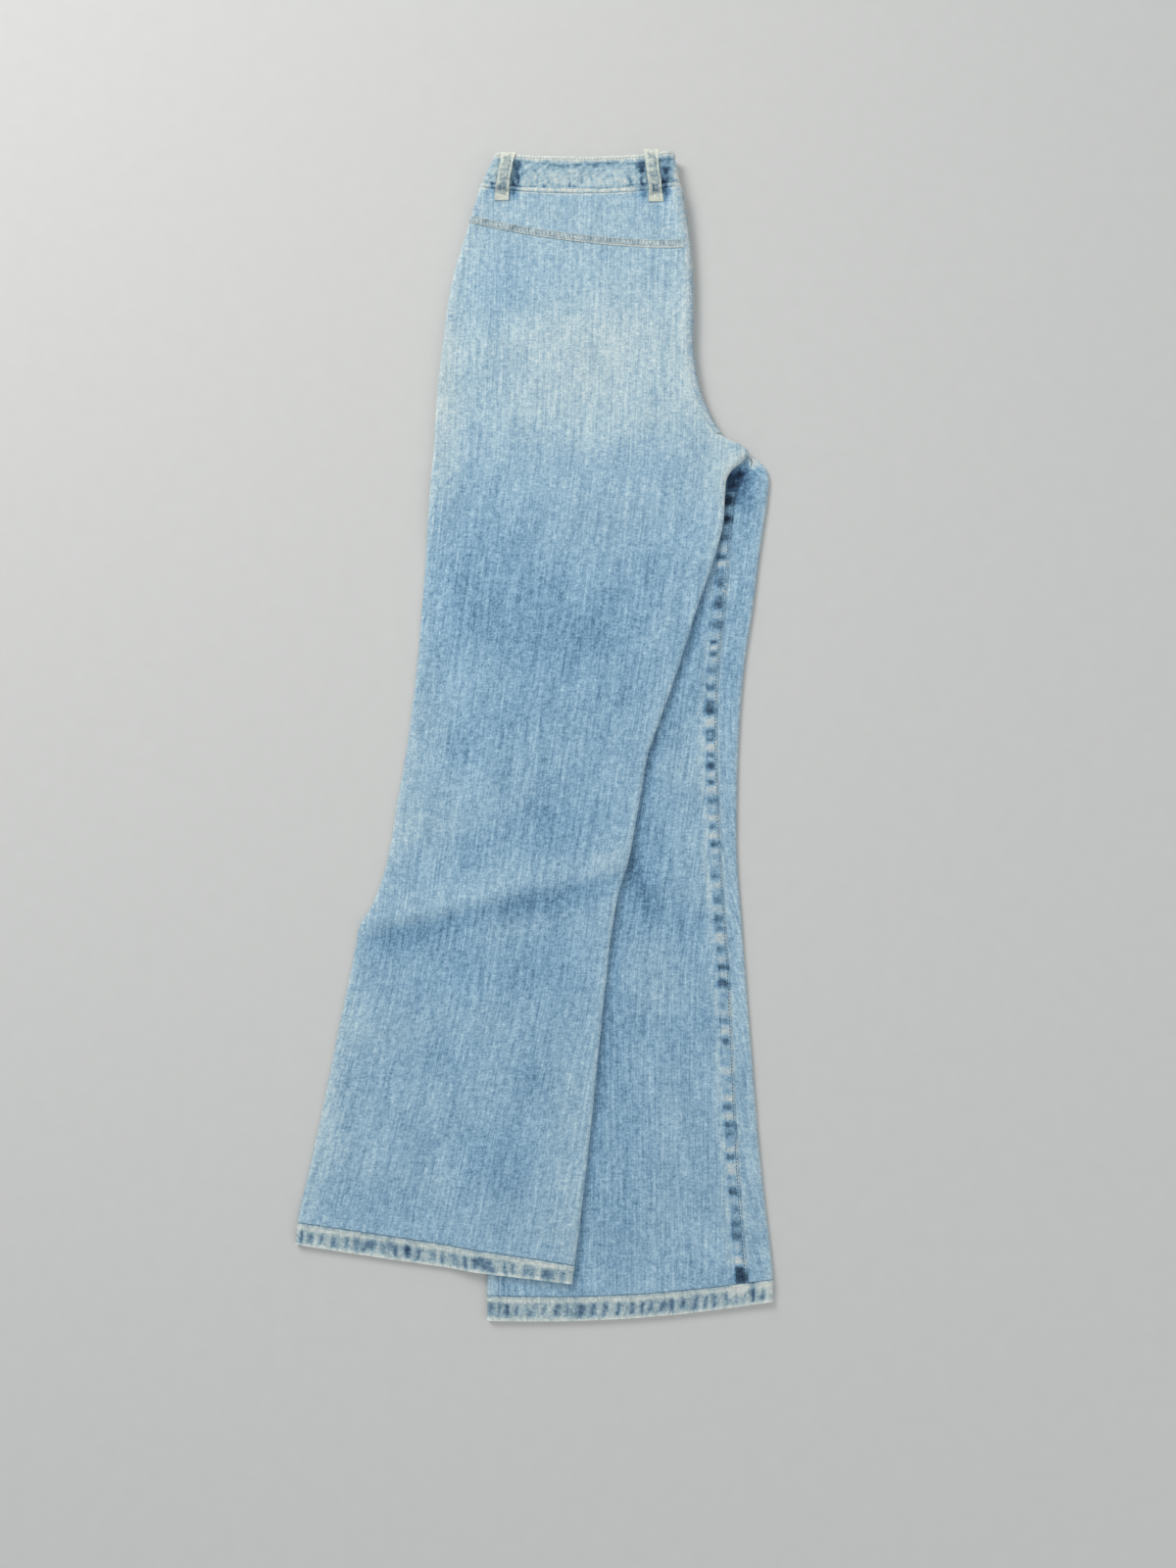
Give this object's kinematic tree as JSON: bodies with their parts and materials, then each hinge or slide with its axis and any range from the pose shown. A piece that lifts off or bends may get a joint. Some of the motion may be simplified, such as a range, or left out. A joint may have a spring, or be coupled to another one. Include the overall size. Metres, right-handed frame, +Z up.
{
  "type": "bootcut jeans, folded in half and laid flat",
  "caption": "Flared bootcut denim jeans folded along the centre with the fronts inside, laid flat with the back of the left leg up and the right leg showing beside it.",
  "frame": {"origin": "on the surface that the jeans lie on, under the middle of their outline seen from above", "axes": "+Y from the hems towards the waist, +Z up off the surface, +X towards the seat's fold"},
  "size_m": [0.4296, 1.0762, 0.0195],
  "materials": {
    "waist_denim": "matte washed denim, worn pale at its edges",
    "loop_denim": "matte denim worn to cream along both edges",
    "yoke_denim": "matte washed denim, faded",
    "leg_denim": "matte light-wash denim with slubby lengthwise yarns",
    "hem_denim": "matte denim with roped, worn puckers",
    "seam_denim": "matte denim with dark puckers beside its stitching",
    "button_metal": "dull brass"
  },
  "bodies": {
    "root": {"waistband": "waist_denim", "belt_loop_side_left": "loop_denim", "belt_loop_centre_left": "loop_denim", "belt_loop_side_right": "loop_denim", "belt_loop_centre_right": "loop_denim", "yoke_left": "yoke_denim", "yoke_right": "yoke_denim", "back_left": "leg_denim", "back_right": "leg_denim", "front_left": "leg_denim", "front_right": "leg_denim", "hem_left": "hem_denim", "hem_right": "hem_denim", "yoke_seam_left": "seam_denim", "seat_seam": "seam_denim", "inseam_right": "seam_denim", "waist_button": "button_metal"}
  },
  "joints": []
}
